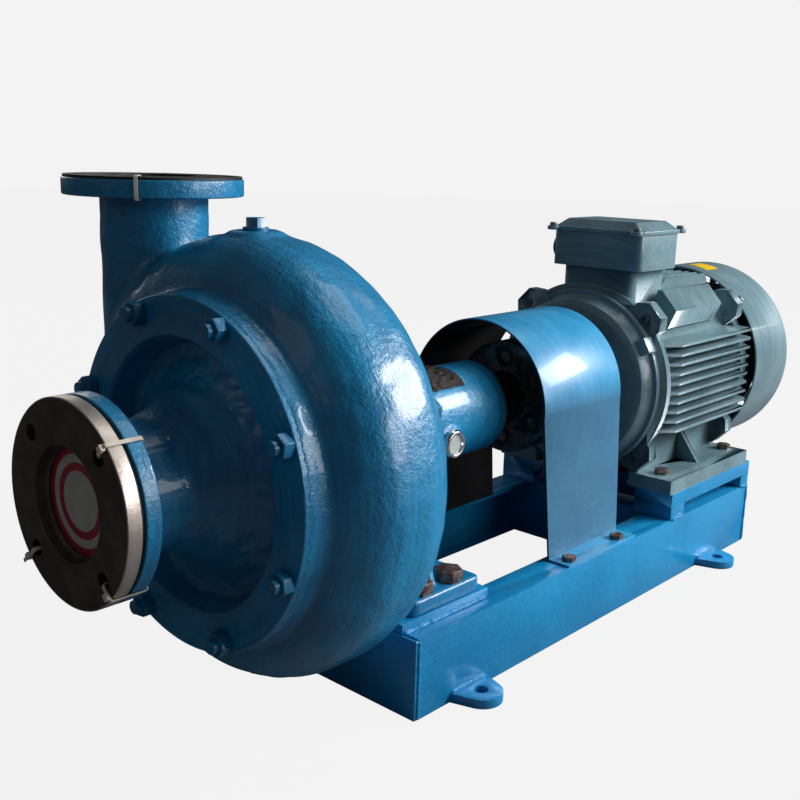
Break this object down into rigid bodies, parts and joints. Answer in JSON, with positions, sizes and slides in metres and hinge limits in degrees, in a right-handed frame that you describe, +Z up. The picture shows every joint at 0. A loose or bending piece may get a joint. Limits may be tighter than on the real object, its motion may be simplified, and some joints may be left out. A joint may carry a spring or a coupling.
{
  "type": "slurry pump set",
  "caption": "End-suction volute slurry pump with bearing bracket, guarded pin coupling and foot-mounted electric motor on a welded channel base.",
  "frame": {"origin": "on the floor plane, in the middle of the four anchor holes of the base", "axes": "+X along the shaft from the suction flange to the motor, +Y towards the discharge neck's side, +Z up"},
  "size_m": [1.318, 0.538, 0.605],
  "materials": {
    "companion_steel": "bare turned steel, brown-grey, with a brighter rim",
    "rubber": "black",
    "blank_plate": "red with a plain white field",
    "pump_paint": "glossy brushed blue enamel over rough casting",
    "painted_fasteners": "blue enamel, worn at the corners",
    "bolt_steel": "bare, slightly rusted",
    "wear_iron": "bare",
    "cover_iron": "rough, dark",
    "machined_steel": "ground",
    "packing": "greased braid",
    "bronze": "dull",
    "sight_chrome": "polished",
    "sight_window": "clear",
    "guard_paint": "semi-gloss light blue",
    "motor_paint": "satin grey-green-blue",
    "motor_fittings": "zinc",
    "lamination": "varnished",
    "plastic": "moulded",
    "base_paint": "glossy blue enamel"
  },
  "bodies": {
    "stationary": {"companion_flange": "companion_steel", "gaskets": "rubber", "oil_seals": "rubber", "suction_blank": "blank_plate", "suction_cover": "pump_paint", "volute_casing": "pump_paint", "bearing_bracket": "pump_paint", "front_bearing_cover": "pump_paint", "rear_bearing_cover": "pump_paint", "cover_studs": "painted_fasteners", "cover_nuts": "painted_fasteners", "casing_plugs": "painted_fasteners", "bracket_bolts": "painted_fasteners", "pump_foot_bolts": "bolt_steel", "gland_studs": "bolt_steel", "base_bolts": "bolt_steel", "wear_ring": "wear_iron", "back_cover": "wear_iron", "inspection_cover": "cover_iron", "bearing_outers": "machined_steel", "packing_rings": "packing", "lantern_ring": "bronze", "windings": "bronze", "sight_glass_ring": "sight_chrome", "sight_glass": "sight_window", "coupling_guard": "guard_paint", "motor_frame": "motor_paint", "drive_end_shield": "motor_paint", "rear_end_shield": "motor_paint", "fan_cowl": "motor_paint", "terminal_box": "motor_paint", "terminal_lid": "motor_paint", "motor_screws": "motor_fittings", "stator_core": "lamination", "cable_entry_plug": "plastic", "terminal_board": "plastic", "base_channels": "base_paint", "base_cross_members": "base_paint", "anchor_lugs": "base_paint", "mounting_rails": "base_paint"},
    "gland": {"gland_follower": "wear_iron", "gland_nuts": "bolt_steel"},
    "pump_rotor": {"impeller": "wear_iron", "impeller_nut": "wear_iron", "pump_shaft": "machined_steel", "shaft_sleeve": "machined_steel", "flinger": "wear_iron", "pump_bearing_inners": "machined_steel", "pump_coupling_hub": "wear_iron", "pump_coupling_key": "machined_steel", "coupling_bushes": "rubber"},
    "motor_rotor": {"motor_shaft": "machined_steel", "rotor_core": "lamination", "motor_bearing_inners": "machined_steel", "fan": "plastic", "motor_coupling_hub": "wear_iron", "motor_coupling_key": "machined_steel", "coupling_pins": "bolt_steel"},
    "pump_cages": {"pump_bearing_cages": "machined_steel"},
    "motor_cages": {"motor_bearing_cages": "machined_steel"}
  },
  "joints": [
    {"name": "motor_spin", "type": "hinge", "parent": "stationary", "child": "motor_rotor", "pos_m": [0, 0, 0.302], "axis": [1, 0, 0], "continuous": true},
    {"name": "pump_spin", "type": "hinge", "parent": "stationary", "child": "pump_rotor", "pos_m": [0, 0, 0.302], "axis": [1, 0, 0], "continuous": true},
    {"name": "pump_cage_spin", "type": "hinge", "parent": "stationary", "child": "pump_cages", "pos_m": [0, 0, 0.302], "axis": [1, 0, 0], "continuous": true},
    {"name": "motor_cage_spin", "type": "hinge", "parent": "stationary", "child": "motor_cages", "pos_m": [0, 0, 0.302], "axis": [1, 0, 0], "continuous": true},
    {"name": "gland_back_off", "type": "slide", "parent": "stationary", "child": "gland", "axis": [1, 0, 0], "range_m": [0, 0.01]}
  ],
  "couplings": [
    {"joint": "pump_spin", "follows": "motor_spin", "ratio": 1},
    {"joint": "pump_cage_spin", "follows": "motor_spin", "ratio": 0.3875},
    {"joint": "motor_cage_spin", "follows": "motor_spin", "ratio": 0.38194}
  ]
}
